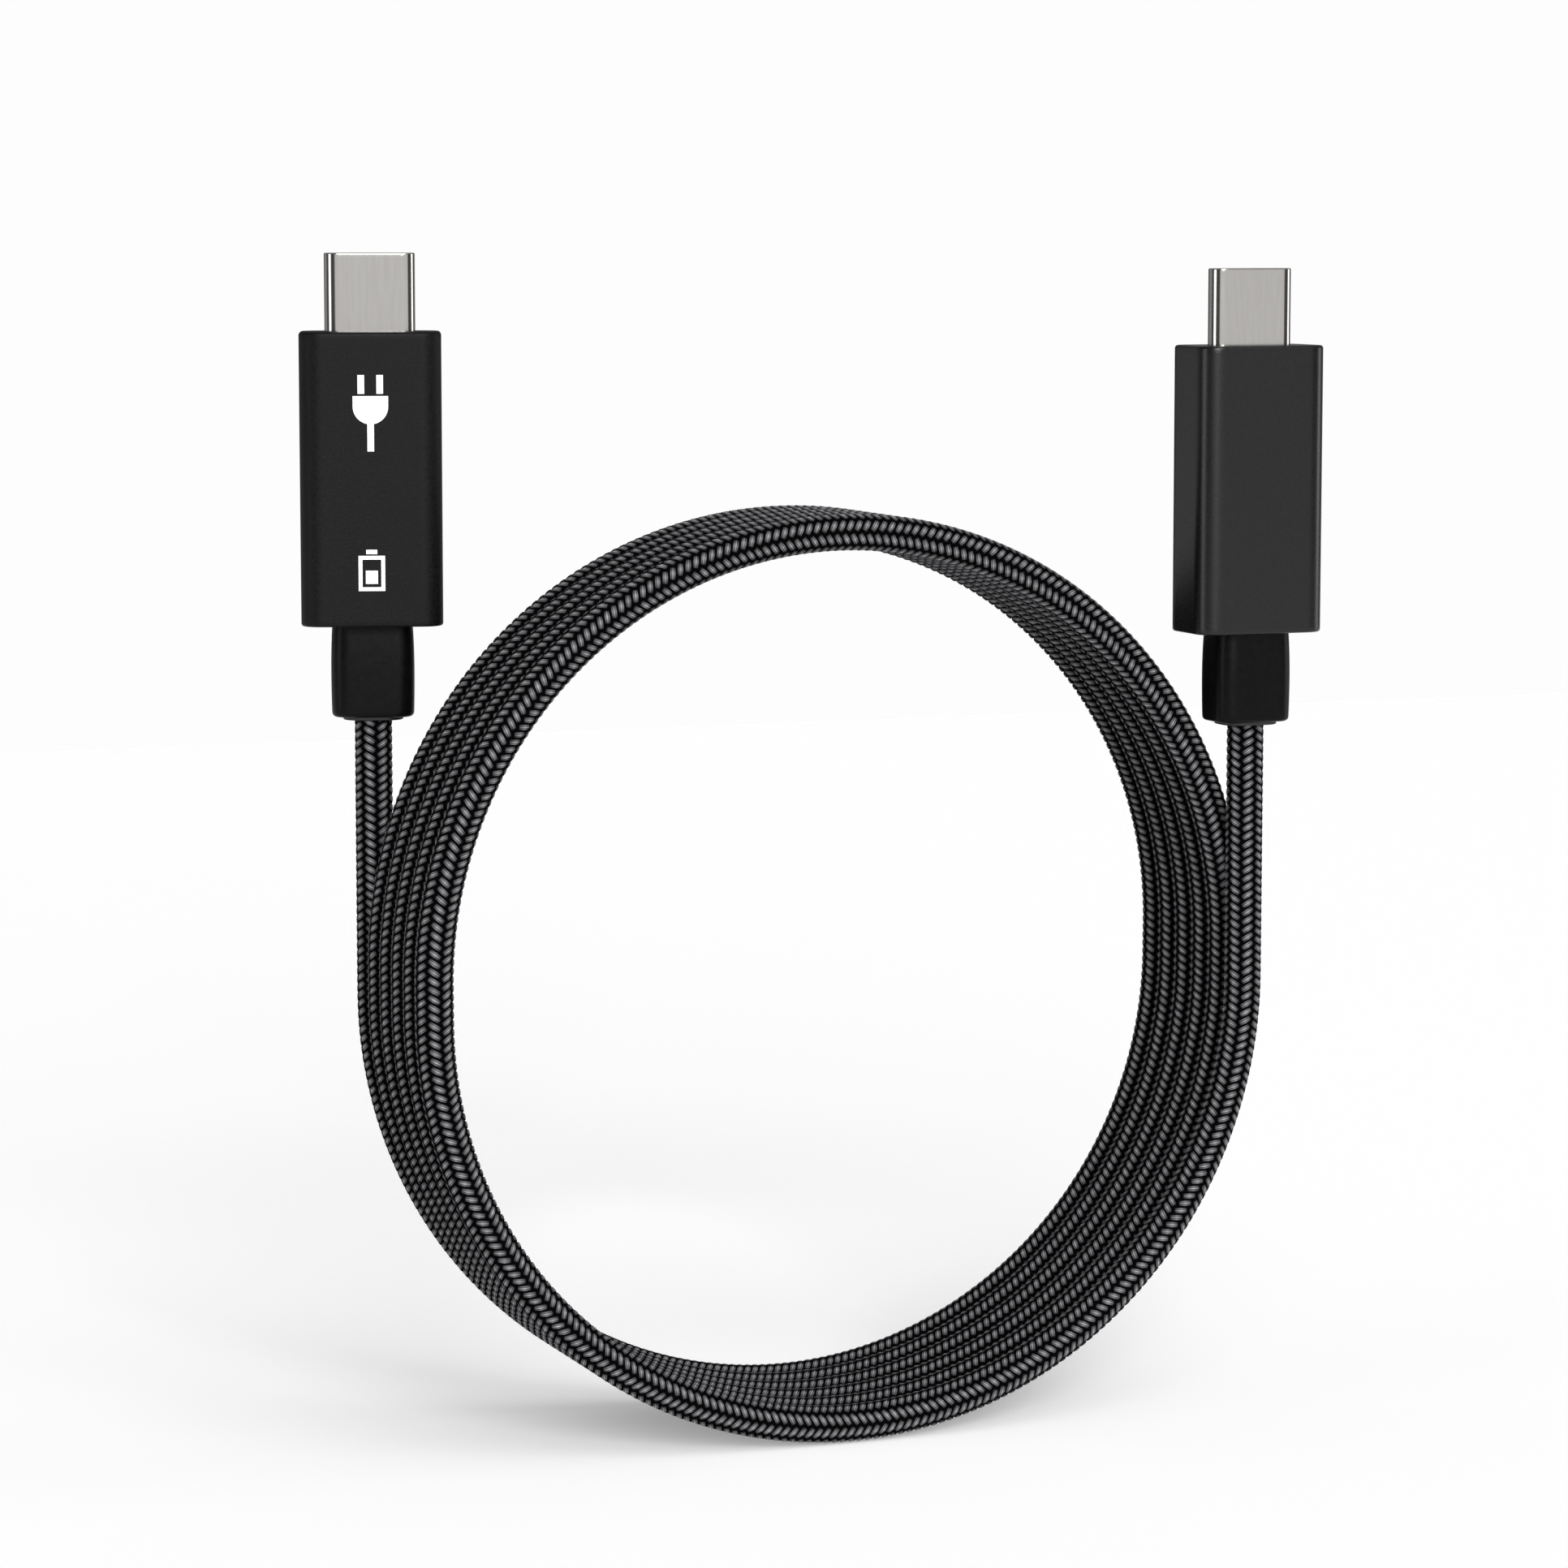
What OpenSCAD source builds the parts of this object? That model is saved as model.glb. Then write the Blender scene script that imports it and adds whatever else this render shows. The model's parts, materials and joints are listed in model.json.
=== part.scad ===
// Charging cable: a braided cord in a standing coil with a flat metal plug on each end.
// Millimetres, +Z up. The coil stands on the floor, its axis lies along Y, and the origin
// is on the floor under the middle of the coil.

/* [Cord] */
// Outside diameter of the braided cord
cord_d = 3.6; // [3.4:0.1:3.8]
// Radius of a turn, to the middle of the cord
coil_r = 39.6; // [36:0.2:44]
// Straight run between the two half circles of a turn
coil_stretch = 3.2; // [1:0.2:6]
// Turns from the right lead to the left lead
turns = 5.5; // [3.5:1:7.5]
// How far the right lead rises above the coil's middle to its plug
right_lead = 22.5; // [20:0.5:30]
// How far the left lead rises above the coil's middle to its plug
left_lead = 24; // [20:0.5:30]
// How far the left plug is twisted about its own axis, in degrees
left_twist = -17; // [-45:1:45]

/* [Housing] */
// Width of the plug's housing
housing_w = 12.9; // [12.6:0.1:14]
// Thickness of the plug's housing
housing_t = 7.9; // [7.6:0.1:8.6]
// Length of the plug's housing
housing_l = 26.7; // [26:0.1:29]
// Radius of the housing's long edges
housing_corner = 1.9; // [1.2:0.1:2.2]
// Wall of the housing's sleeve
housing_wall = 0.8; // [0.6:0.05:0.8]

/* [Metal plug] */
// Width of the plug's shell
shell_w = 8.25; // [8.2:0.01:8.3]
// Thickness of the plug's shell
shell_t = 2.4; // [2.35:0.01:2.45]
// How far the shell stands out of the housing
shell_reach = 7.1; // [6.6:0.1:7.2]
// Sheet that the shell is drawn from
shell_wall = 0.25; // [0.2:0.01:0.28]
// Spacing of the contacts in a row
contact_pitch = 0.5; // [0.48:0.01:0.5]

/* [Strain relief] */
// Width of the rubber strain relief
boot_w = 7.6; // [7:0.1:8.4]
// Thickness of the rubber strain relief
boot_t = 5.6; // [5.5:0.1:6.4]
// Length of the strain relief outside the housing
boot_l = 8.4; // [7:0.1:10]

/* [Hidden] */
$fn = 48;
fit = 0.02;                       // gap between pieces that are pressed or slid together

// The coil
pitch = cord_d;                   // the turns lie side by side, touching
lead_y = turns * pitch / 2;       // the first turn starts at -lead_y and the last ends at +lead_y
coil_low = coil_r + cord_d / 2;   // height of the lower half circles' centre
coil_mid = coil_low + coil_stretch / 2;
braid_slack = 0.2;                // what the braid may stand proud of the turns
tube_sides = 8;
// Points of each lead, as heights above the coil's middle
right_route = [for (h = [0, 7.5, 15, right_lead]) [coil_r, -lead_y, coil_mid + h]];
left_route = [for (h = [0, 8, 16, left_lead]) [-coil_r, lead_y, coil_mid + h]];

// Heights inside a plug, from the face where the cord goes in
lip = 0.3;
boot_top = lip + boot_l;
flange_top = boot_top + 2;
housing_top = boot_top + housing_l;
tip = housing_top + shell_reach;
front_wall = 1;
shell_rear = tip - 12;
can_rear = boot_top + 5.3;
can_front = shell_rear + 1.5;
card_rear = can_rear + 2.5;
card_front = shell_rear - 0.9;
sleeve_top = flange_top + 0.9;
crimp_rear = can_rear - 2.2;
carrier_rear = shell_rear + 0.5;
carrier_front = tip - 0.3;

// Widths inside a plug
inner_w = housing_w - 2 * housing_wall;
inner_t = housing_t - 2 * housing_wall;
inner_corner = max(0.3, housing_corner - housing_wall);
can_w = 10;
can_t = 4.8;
can_wall = 0.25;
card_w = 8.6;
card_t = 0.8;
contact_w = 0.25;
contact_t = 0.14;
contact_gap = 0.41;               // from the plug's middle plane to a contact
contact_rear = card_front - 1.4;
contact_front = tip - 1.3;
slot_w = 6.8;
slot_t = 1.12;
jacket_d = 3.2;
jacket_bore = 2.62;
shield_bore = 2.46;
crimp_d = 4.2;
collar_w = 5.5;
collar_t = 4.4;
coax_d = 0.42;
power_d = 0.6;
data_d = 0.28;
mark_t = 0.05;

// ---------------------------------------------------------------- helpers

// Rectangle with round corners, centred
module rounded(w, t, r) {
    square([w - 2 * r, t], center = true);
    square([w, t - 2 * r], center = true);
    for (x = [-1, 1], y = [-1, 1])
        translate([x * (w / 2 - r), y * (t / 2 - r)]) circle(r = r);
}

// Flat oval with half-round ends, centred
module oval(w, t) {
    square([w - t, t], center = true);
    for (x = [-1, 1]) translate([x * (w - t) / 2, 0]) circle(d = t);
}

// Upright prism of a flat shape between two heights
module between(low, high) {
    translate([0, 0, low]) linear_extrude(high - low) children();
}

// Box from a low corner to a high corner
module block(low, high) {
    translate(low) cube(high - low);
}

// Round tube or, with no bore, a rod
module pipe(d, bore, low, high) {
    difference() {
        translate([0, 0, low]) cylinder(d = d, h = high - low);
        if (bore > 0) translate([0, 0, low - 1]) cylinder(d = bore, h = high - low + 2);
    }
}

function unit(v) = v / norm(v);
// Direction of a route at point i: the mean of the stretches on its two sides
function heading(p, i) = unit(p[min(i + 1, len(p) - 1)] - p[max(i - 1, 0)]);
// One ring of the tube, square to the heading
function ring(c, dir, r, n) =
    let (u = unit(cross([0, 1, 0], dir)), v = cross(dir, u))
    [for (k = [0:n - 1]) c + r * (cos(360 * k / n) * u + sin(360 * k / n) * v)];

// A tube swept along a list of points
module swept(points, d, n) {
    rings = [for (i = [0:len(points) - 1]) each ring(points[i], heading(points, i), d / 2, n)];
    last = (len(points) - 1) * n;
    sides = [for (i = [0:len(points) - 2], k = [0:n - 1])
        [i * n + k, (i + 1) * n + k, (i + 1) * n + (k + 1) % n, i * n + (k + 1) % n]];
    bottom = [[for (k = [0:n - 1]) k]];
    top = [[for (k = [n - 1:-1:0]) last + k]];
    polyhedron(rings, concat(sides, bottom, top));
}

// ---------------------------------------------------------------- cord

// Outline of a turn seen along the coil's axis, as far as r from its centreline's middle
module turn_outline(r) {
    for (h = [0, coil_stretch]) translate([0, coil_low + h]) circle(r = r, $fn = 180);
    translate([-r, coil_low]) square([2 * r, coil_stretch]);
}

// All the turns as one band, flat where it stands, with a step beside each lead
module coil() {
    half = lead_y + cord_d / 2;
    reach = cord_d / 2 + braid_slack;
    step_y = half - pitch - 2 * fit;
    color("#26262a") difference() {
        translate([0, half, 0]) rotate([90, 0, 0]) linear_extrude(2 * half) difference() {
            turn_outline(coil_r + reach);
            turn_outline(coil_r - reach);
        }
        block([-60, -60, -5], [60, 60, 0]);
        block([30, -60, coil_mid], [60, -step_y, coil_mid + 22]);
        block([-60, step_y, coil_mid], [-30, 60, coil_mid + 22]);
    }
}

module lead(points) {
    color("#26262a") swept(points, cord_d, tube_sides);
}

// ---------------------------------------------------------------- outside of a plug

// Aluminium sleeve with a closed front end and a slot for the metal plug
module housing() {
    color("#2b2b2d") difference() {
        between(boot_top, housing_top) rounded(housing_w, housing_t, housing_corner);
        between(boot_top - 1, housing_top - front_wall) rounded(inner_w, inner_t, inner_corner);
        between(boot_top, tip) oval(shell_w + 2 * fit, shell_t + 2 * fit);
    }
}

// White marks on the housing's front: a plug sign above and a battery sign below
module printed_marks() {
    plug_z = housing_top - 7.3;
    battery_z = housing_top - 21.8;
    face_y = -housing_t / 2;
    color("white") translate([0, face_y, 0]) rotate([90, 0, 0]) linear_extrude(mark_t) {
        translate([0, plug_z]) plug_sign();
        translate([0, battery_z]) battery_sign();
    }
}

module plug_sign() {
    prong_w = 0.6;
    body_w = 3.2;
    for (x = [-0.85, 0.85]) translate([x - prong_w / 2, 1.75]) square([prong_w, 1.7]);
    translate([-body_w / 2, 0.6]) square([body_w, 0.95]);
    difference() {
        translate([0, 0.6]) circle(d = body_w);
        translate([-3, 0.6]) square([6, 3]);
    }
    translate([-0.3, -3.45]) square([0.6, 2.7]);
}

module battery_sign() {
    difference() {
        square([2.4, 3.2], center = true);
        square([1.7, 2.5], center = true);
    }
    translate([-0.5, 1.75]) square([1, 0.4]);
    translate([-0.55, -0.95]) square([1.1, 1.2]);
}

// Rubber strain relief: a slightly bellied body and a flange that closes the housing
module strain_relief() {
    belly = 0.25;
    edge = 0.5;
    color("#1f1f1f") difference() {
        union() {
            hull() {
                between(lip, lip + 0.1) rounded(boot_w - 2 * edge, boot_t - 2 * edge, 1.1, $fn = 32);
                between(lip + edge, lip + edge + 0.1) rounded(boot_w - 0.1, boot_t - 0.1, 1.6, $fn = 32);
                between(boot_top / 2, boot_top / 2 + 0.1) rounded(boot_w, boot_t, 1.6, $fn = 32);
                between(boot_top - 0.1, boot_top) rounded(boot_w - belly, boot_t - belly, 1.6, $fn = 32);
            }
            between(boot_top - 0.05, flange_top)
                rounded(inner_w - 2 * fit, inner_t - 2 * fit, inner_corner);
        }
        between(-1, lip + 2.2) rounded(collar_w + 2 * fit, collar_t + 2 * fit, 1.6);
        translate([0, 0, -1]) cylinder(d = cord_d + 2 * fit, h = flange_top + 2);
    }
}

// Stiff collar that holds the braid's cut end, its rim just showing under the boot
module end_collar() {
    color("#202020") difference() {
        between(0, lip + 2.2) rounded(collar_w, collar_t, 1.6);
        translate([0, 0, -1]) cylinder(d = cord_d + 2 * fit, h = lip + 4);
    }
}

// ---------------------------------------------------------------- inside a plug

// Hard inner mould that fills the housing round the shield cans
module inner_mould() {
    color("#3a3a3a") difference() {
        between(flange_top, housing_top - front_wall)
            rounded(inner_w - 2 * fit, inner_t - 2 * fit, inner_corner);
        block([-can_w / 2 - fit, -can_t / 2 - fit, can_rear - fit],
              [can_w / 2 + fit, can_t / 2 + fit, can_front + fit]);
        between(can_front - 1, tip) oval(shell_w + 2 * fit, shell_t + 2 * fit);
        translate([0, 0, flange_top - 1]) cylinder(d = crimp_d + 2 * fit, h = can_rear - flange_top + 2);
    }
}

// Deep-drawn steel shell
module plug_shell() {
    color("#b9b8b6") difference() {
        between(shell_rear, tip) oval(shell_w, shell_t);
        between(shell_rear - 1, tip + 1) oval(shell_w - 2 * shell_wall, shell_t - 2 * shell_wall);
    }
}

// Moulded carrier with the slot that takes the socket's tongue
module contact_carrier() {
    color("#151515") difference() {
        between(carrier_rear, carrier_front)
            oval(shell_w - 2 * shell_wall - 2 * fit, shell_t - 2 * shell_wall - 2 * fit);
        between(carrier_rear - 1, tip) square([slot_w, slot_t], center = true);
    }
}

// A row of separate flat contacts on one face; side is -1 for the front and 1 for the back
module contact_row(side, skipped) {
    low_y = side > 0 ? contact_gap : -contact_gap - contact_t;
    color("#d4b25a") for (i = [0:11]) if (len(search(i, skipped)) == 0) {
        x = (i - 5.5) * contact_pitch;
        block([x - contact_w / 2, low_y, contact_rear], [x + contact_w / 2, low_y + contact_t, contact_front]);
    }
}

// Steel plate between the contact rows, with a sprung latch arm on each side of the slot
module latch_plate() {
    arm_in = slot_w / 2 - 0.3;
    arm_out = slot_w / 2 - fit;
    arm_top = tip - 1.9;
    color("#a9a9a6") {
        block([-arm_out, -0.12, card_front + fit], [arm_out, 0.12, carrier_rear + 2]);
        for (side = [-1, 1]) scale([side, 1, 1]) latch_arm(arm_in, arm_out, arm_top);
    }
}

module latch_arm(arm_in, arm_out, arm_top) {
    block([arm_in, -0.35, carrier_rear + 0.2], [arm_out, 0.35, arm_top]);
    block([arm_in - 0.15, -0.35, arm_top - 0.6], [arm_in + 0.1, 0.35, arm_top]);
}

// Two stamped strips inside the mouth that ground the socket's tongue
module ground_springs() {
    low = tip - 1.2;
    color("#c9c9c4") for (side = [-1, 1]) {
        rotate([0, 0, side > 0 ? 0 : 180]) {
            block([-3, 0.46, low], [3, 0.55, low + 0.7]);
            for (x = [-2.25:1.5:2.25]) block([x - 0.35, 0.38, low + 0.15], [x + 0.35, 0.5, low + 0.55]);
        }
    }
}

// Half of the folded steel can that screens the circuit card
module can_half(side) {
    rotate([0, 0, side > 0 ? 0 : 180]) color("#b4b4b0") difference() {
        block([-can_w / 2, 0, can_rear], [can_w / 2, can_t / 2, can_front]);
        block([-can_w / 2 + can_wall, -1, can_rear + can_wall],
              [can_w / 2 - can_wall, can_t / 2 - can_wall, can_front - can_wall]);
        between(can_front - 1, tip) oval(shell_w + 2 * fit, shell_t + 2 * fit);
        translate([0, 0, can_rear - 1]) cylinder(d = jacket_bore, h = 2);
    }
}

module circuit_card() {
    color("#1d4d2b") block([-card_w / 2, -card_t / 2, card_rear], [card_w / 2, card_t / 2, card_front]);
}

// The chip that tells a charger what the cable can carry
module marker_chip() {
    mid = (card_rear + card_front) / 2;
    color("#141414") block([-1.25, -card_t / 2 - 0.6, mid - 1.25], [1.25, -card_t / 2, mid + 1.25]);
}

// Small capacitors and resistors, each a separate solid
module card_parts() {
    mid = (card_rear + card_front) / 2;
    color("#8a7350") {
        for (x = [-3.2, -2.2, 2.2, 3.2], z = [-1.5, 1.5])
            block([x - 0.25, -card_t / 2 - 0.5, mid + z - 0.5], [x + 0.25, -card_t / 2, mid + z + 0.5]);
        for (x = [-2.4, -0.8, 0.8, 2.4])
            block([x - 0.25, card_t / 2, mid - 0.5], [x + 0.25, card_t / 2 + 0.5, mid + 0.5]);
    }
}

module crimp_ring() {
    color("#8f8d88") pipe(crimp_d, jacket_d + 2 * fit, crimp_rear, can_rear);
}

// ---------------------------------------------------------------- the cord's end inside a plug

module braid_sleeve() {
    color("#26262a") pipe(cord_d, jacket_d + 2 * fit, 0, sleeve_top);
}

module cable_jacket() {
    color("#111111") pipe(jacket_d, jacket_bore, 0, can_rear);
}

module cable_shield() {
    color("#b08d5a") pipe(jacket_bore - 2 * fit, shield_bore, 0, can_rear);
}

// Eight fine coaxial wires that fan out to both faces of the card
module coax_wires() {
    wire_y = card_t / 2 + coax_d / 2 + fit;
    color("#d8d8d8") for (side = [-1, 1], k = [-1.5:1:1.5])
        swept([[0.5 * k, side * wire_y, 0], [0.5 * k, side * wire_y, can_rear + 0.4],
               [1.7 * k, side * wire_y, card_rear + 0.6], [1.7 * k, side * wire_y, card_rear + 2.6]], coax_d, 6);
}

module power_wires() {
    color("#a02020") for (x = [-0.85, 0.85]) translate([x, 0, 0]) pipe(power_d, 0, 0, card_rear);
}

module data_wires() {
    color("#2a5aa0") for (x = [-0.22, 0.22], y = [-0.16, 0.16])
        translate([x, y, 0]) pipe(data_d, 0, 0, card_rear);
}

// ---------------------------------------------------------------- places

module at_right() {
    translate(right_route[3]) children();
}

module at_left() {
    translate(left_route[3]) rotate([0, 0, left_twist]) children();
}

coil();
lead(left_route);  // left_lead
lead(right_route);  // right_lead

at_left() housing();  // left_housing
at_left() printed_marks();  // left_printed_marks
at_left() strain_relief();  // left_strain_relief
at_left() end_collar();  // left_end_collar
at_left() inner_mould();  // left_inner_mould
at_left() plug_shell();  // left_plug_shell
at_left() contact_carrier();  // left_contact_carrier
at_left() contact_row(-1, []);  // left_front_contacts
at_left() contact_row(1, [5, 6]);  // left_back_contacts
at_left() latch_plate();  // left_latch_plate
at_left() ground_springs();  // left_ground_springs
at_left() can_half(-1);  // left_front_can
at_left() can_half(1);  // left_back_can
at_left() circuit_card();  // left_circuit_card
at_left() marker_chip();  // left_marker_chip
at_left() card_parts();  // left_card_parts
at_left() crimp_ring();  // left_crimp_ring
at_left() braid_sleeve();  // left_braid_sleeve
at_left() cable_jacket();  // left_cable_jacket
at_left() cable_shield();  // left_cable_shield
at_left() coax_wires();  // left_coax_wires
at_left() power_wires();  // left_power_wires
at_left() data_wires();  // left_data_wires

at_right() housing();  // right_housing
at_right() strain_relief();  // right_strain_relief
at_right() end_collar();  // right_end_collar
at_right() inner_mould();  // right_inner_mould
at_right() plug_shell();  // right_plug_shell
at_right() contact_carrier();  // right_contact_carrier
at_right() contact_row(-1, []);  // right_front_contacts
at_right() contact_row(1, [5, 6]);  // right_back_contacts
at_right() latch_plate();  // right_latch_plate
at_right() ground_springs();  // right_ground_springs
at_right() can_half(-1);  // right_front_can
at_right() can_half(1);  // right_back_can
at_right() circuit_card();  // right_circuit_card
at_right() marker_chip();  // right_marker_chip
at_right() card_parts();  // right_card_parts
at_right() crimp_ring();  // right_crimp_ring
at_right() braid_sleeve();  // right_braid_sleeve
at_right() cable_jacket();  // right_cable_jacket
at_right() cable_shield();  // right_cable_shield
at_right() coax_wires();  // right_coax_wires
at_right() power_wires();  // right_power_wires
at_right() data_wires();  // right_data_wires
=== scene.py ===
# %% [markdown]
# A charging cable: one long braided cord, wound in a standing coil, with a flat metal
# plug on each end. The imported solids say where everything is; this lesson makes what the
# eye sees, piece by piece. All lengths below are metres, written as millimetres times MM.

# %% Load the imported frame
import json

import bpy
import numpy as np
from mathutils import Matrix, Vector


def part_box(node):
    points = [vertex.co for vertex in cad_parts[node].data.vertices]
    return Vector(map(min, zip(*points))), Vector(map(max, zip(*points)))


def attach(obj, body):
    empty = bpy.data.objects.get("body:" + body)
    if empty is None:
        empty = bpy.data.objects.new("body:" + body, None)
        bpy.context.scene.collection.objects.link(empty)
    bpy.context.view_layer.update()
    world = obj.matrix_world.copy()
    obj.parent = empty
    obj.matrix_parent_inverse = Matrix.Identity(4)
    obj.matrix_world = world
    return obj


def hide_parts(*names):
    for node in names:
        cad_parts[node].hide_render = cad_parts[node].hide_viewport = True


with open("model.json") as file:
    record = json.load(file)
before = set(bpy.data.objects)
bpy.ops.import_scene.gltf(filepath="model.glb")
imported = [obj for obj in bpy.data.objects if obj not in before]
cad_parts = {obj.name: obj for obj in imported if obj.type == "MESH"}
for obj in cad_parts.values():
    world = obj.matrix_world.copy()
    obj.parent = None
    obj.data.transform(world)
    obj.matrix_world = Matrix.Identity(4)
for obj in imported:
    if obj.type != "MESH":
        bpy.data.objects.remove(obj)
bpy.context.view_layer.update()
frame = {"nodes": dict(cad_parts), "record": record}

MM = 0.001
print("CAD nodes:", len(frame["nodes"]))

# %% [markdown]
# The camera looks almost straight at the coil, a little from its left and a little from
# above, through a long lens, so the two plugs look nearly the same size. It is placed a
# given distance back from the point it aims at, along the line given by two angles.

# %% Camera
LENS, SENSOR = 116.45, 36.0
AIM = np.array([-3.011, 0.0, 60.481]) * MM
DISTANCE = 470.3 * MM
azimuth, elevation = np.radians([21.385, 6.375])
ahead = np.array([np.sin(azimuth) * np.cos(elevation), np.cos(azimuth) * np.cos(elevation),
                  -np.sin(elevation)])

camera = bpy.data.objects.new("camera", bpy.data.cameras.new("camera"))
camera.data.lens, camera.data.sensor_width, camera.data.clip_start = LENS, SENSOR, 0.01
camera.location = AIM - DISTANCE * ahead
camera.rotation_euler = Vector(ahead).to_track_quat("-Z", "Y").to_euler()
bpy.context.scene.collection.objects.link(camera)
bpy.context.scene.camera = camera
print("camera at", np.round(camera.location, 3))

# %% [markdown]
# The cord is one piece from plug to plug, 1.45 m long. It drops out of the right plug,
# goes round the coil five and a half times, each turn one cord's width further back, and
# rises into the left plug. Its middle line could be a drawn curve, but the braid has to be
# laid along it exactly, so it is worked out: at each distance along the cord, np.interp
# gives the angle round the coil, the height of that half turn's centre, and the place
# along the coil's axis.

# %% The cord's route
TURN_R = 39.6 * MM
RIGHT_ROUTE = [(0.0396, -0.0099, 0.0430), (0.0396, -0.0099, 0.0505),
               (0.0396, -0.0099, 0.0580), (0.0396, -0.0099, 0.0655)]
LEFT_ROUTE = [(-0.0396, 0.0099, 0.0430), (-0.0396, 0.0099, 0.0510),
              (-0.0396, 0.0099, 0.0590), (-0.0396, 0.0099, 0.0670)]
LOW, MID, HIGH = 41.4 * MM, 43.0 * MM, 44.6 * MM    # half circles' centres, and between
HALF_TURNS = 11
TUCK = 1.2 * MM                 # how far the braid goes on inside a collar

# Each half turn has three stops: down or up to its centre's height, round, and back to MID.
right_exit, left_exit = np.array(RIGHT_ROUTE[-1]), np.array(LEFT_ROUTE[-1])
half_steps = [MID - LOW, np.pi * TURN_R, HIGH - MID]
steps = [0, TUCK + right_exit[2] - MID] + half_steps * HALF_TURNS + [left_exit[2] - MID + TUCK]
stop = np.cumsum(steps)
stop_turned = np.pi * np.cumsum([0, 0] + [0, 1, 0] * HALF_TURNS + [0])
is_lower = np.arange(HALF_TURNS)[:, None] % 2 == 0
half_heights = np.where(is_lower, [LOW, LOW, MID], [HIGH, HIGH, MID])
stop_height = np.concatenate([[right_exit[2] + TUCK, MID], half_heights.ravel(),
                              [left_exit[2] + TUCK]])
stop_y = np.interp(stop, [stop[1], stop[-2]], [right_exit[1], left_exit[1]])
cord_end = stop[-1]
cord_length = cord_end - 2 * TUCK


def route(s):
    """Points on the cord's middle line at distances s from its right end, and the direction
    pointing away from the coil's axis. The point is the half turn's centre plus the turn
    radius times that direction; the direction turns clockwise as s grows."""
    angle = -np.interp(s, stop, stop_turned)
    away = np.stack([np.cos(angle), np.zeros_like(s), np.sin(angle)], -1)
    centre = np.stack([np.zeros_like(s), np.interp(s, stop, stop_y),
                       np.interp(s, stop, stop_height)], -1)
    return centre + TURN_R * away, away


print(f"cord from collar to collar: {cord_length:.4f} m")

# %% [markdown]
# Every new surface here is a grid of points: rows one way, columns the other. This helper
# joins neighbouring points with four-sided faces and can close the grid on itself either
# way, or put a flat cap on its two open ends. Blender takes the arrays whole.

# %% Grid to mesh
SHARP_DEGREES = 40             # edges that fold more than this stay crisp


def signed_volume(points, quads):
    """Six times the enclosed volume: the sum, over each face cut in two triangles, of the
    first corner dotted with the cross product of the other two. It is negative when the
    faces point inwards."""
    a, b, c, d = (points[quads[:, k]] for k in range(4))
    return float((a * np.cross(b, c)).sum() + (a * np.cross(c, d)).sum())


def grid_faces(rows, columns, loop_rows):
    """Corner numbers of the faces between neighbouring rows and columns; columns always
    close on themselves, and rows too if loop_rows is true."""
    i = np.arange(rows if loop_rows else rows - 1)[:, None]
    j = np.arange(columns)[None, :]
    below, above, right = i * columns, (i + 1) % rows * columns, (j + 1) % columns
    return np.stack([below + j, below + right, above + right, above + j], -1).reshape(-1, 4)


def new_piece(name, grids, material, loop_rows=False, uv=None, heights=None):
    """A smooth-shaded object from one or more equal grids of points (grids x rows x columns
    x 3), with flat caps where the rows are open. uv holds one pair for each face corner and
    heights one number for each point."""
    count, rows, columns = grids.shape[:3]
    points = grids.reshape(-1, 3)
    first = np.arange(count)[:, None] * rows * columns
    quads = (grid_faces(rows, columns, loop_rows).ravel() + first).reshape(-1, 4)
    inward = signed_volume(points - points.mean(0), quads) < 0
    quads = quads[:, ::-1] if inward else quads
    corners, sizes = quads.ravel(), np.full(len(quads), 4)
    if not loop_rows:
        ring = np.arange(columns)
        caps = np.stack([first + ring[::-1], first + ring + (rows - 1) * columns])
        caps = caps[..., ::-1] if inward else caps
        corners = np.concatenate([corners, caps.ravel()])
        sizes = np.concatenate([sizes, np.full(2 * count, columns)])
    mesh = bpy.data.meshes.new(name)
    mesh.vertices.add(len(points))
    mesh.vertices.foreach_set("co", points.astype(np.float32).ravel())
    mesh.loops.add(len(corners))
    mesh.loops.foreach_set("vertex_index", corners.astype(np.int32))
    mesh.polygons.add(len(sizes))
    mesh.polygons.foreach_set("loop_start", (np.cumsum(sizes) - sizes).astype(np.int32))
    mesh.update(calc_edges=True)
    mesh.polygons.foreach_set("use_smooth", np.ones(len(sizes), bool))
    if uv is not None:
        uv = uv.reshape(-1, 4, 2)
        uv = uv[:, ::-1] if inward else uv
        flat = np.zeros((len(corners), 2), np.float32)
        flat[:uv.size // 2] = uv.reshape(-1, 2)
        mesh.uv_layers.new(name="UVMap").data.foreach_set("uv", flat.ravel())
    if heights is not None:
        field = mesh.attributes.new("height", "FLOAT", "POINT")
        field.data.foreach_set("value", heights.astype(np.float32).ravel())
    mesh.set_sharp_from_angle(angle=np.radians(SHARP_DEGREES))
    piece = bpy.data.objects.new(name, mesh)
    bpy.context.scene.collection.objects.link(piece)
    mesh.materials.append(material)
    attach(piece, "root")
    return piece


# %% [markdown]
# Materials are small node trees. Colours are written as the sRGB hex values a paint chart
# would give, and one function turns them into the linear values that light is added up in.
# One more function adds a node with its settings and links. Where a socket is given by its
# number, Map Range takes a value, the two ends it runs between, and the two ends it is
# turned into; a colour Mix takes its share as 0 and its colours as 6 and 7; a Mapping takes
# a vector as 0 and its scale as 3.

# %% Colour and node helpers


def linear(hex_colour):
    """Linear RGBA of an sRGB hex colour: each channel below 0.04045 is divided by 12.92,
    and above it is shifted, scaled and raised to the power 2.4."""
    c = np.array([int(hex_colour[k:k + 2], 16) for k in (1, 3, 5)]) / 255
    rgb = np.where(c <= 0.04045, c / 12.92, ((c + 0.055) / 1.055) ** 2.4)
    return (*(float(v) for v in rgb), 1.0)


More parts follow.
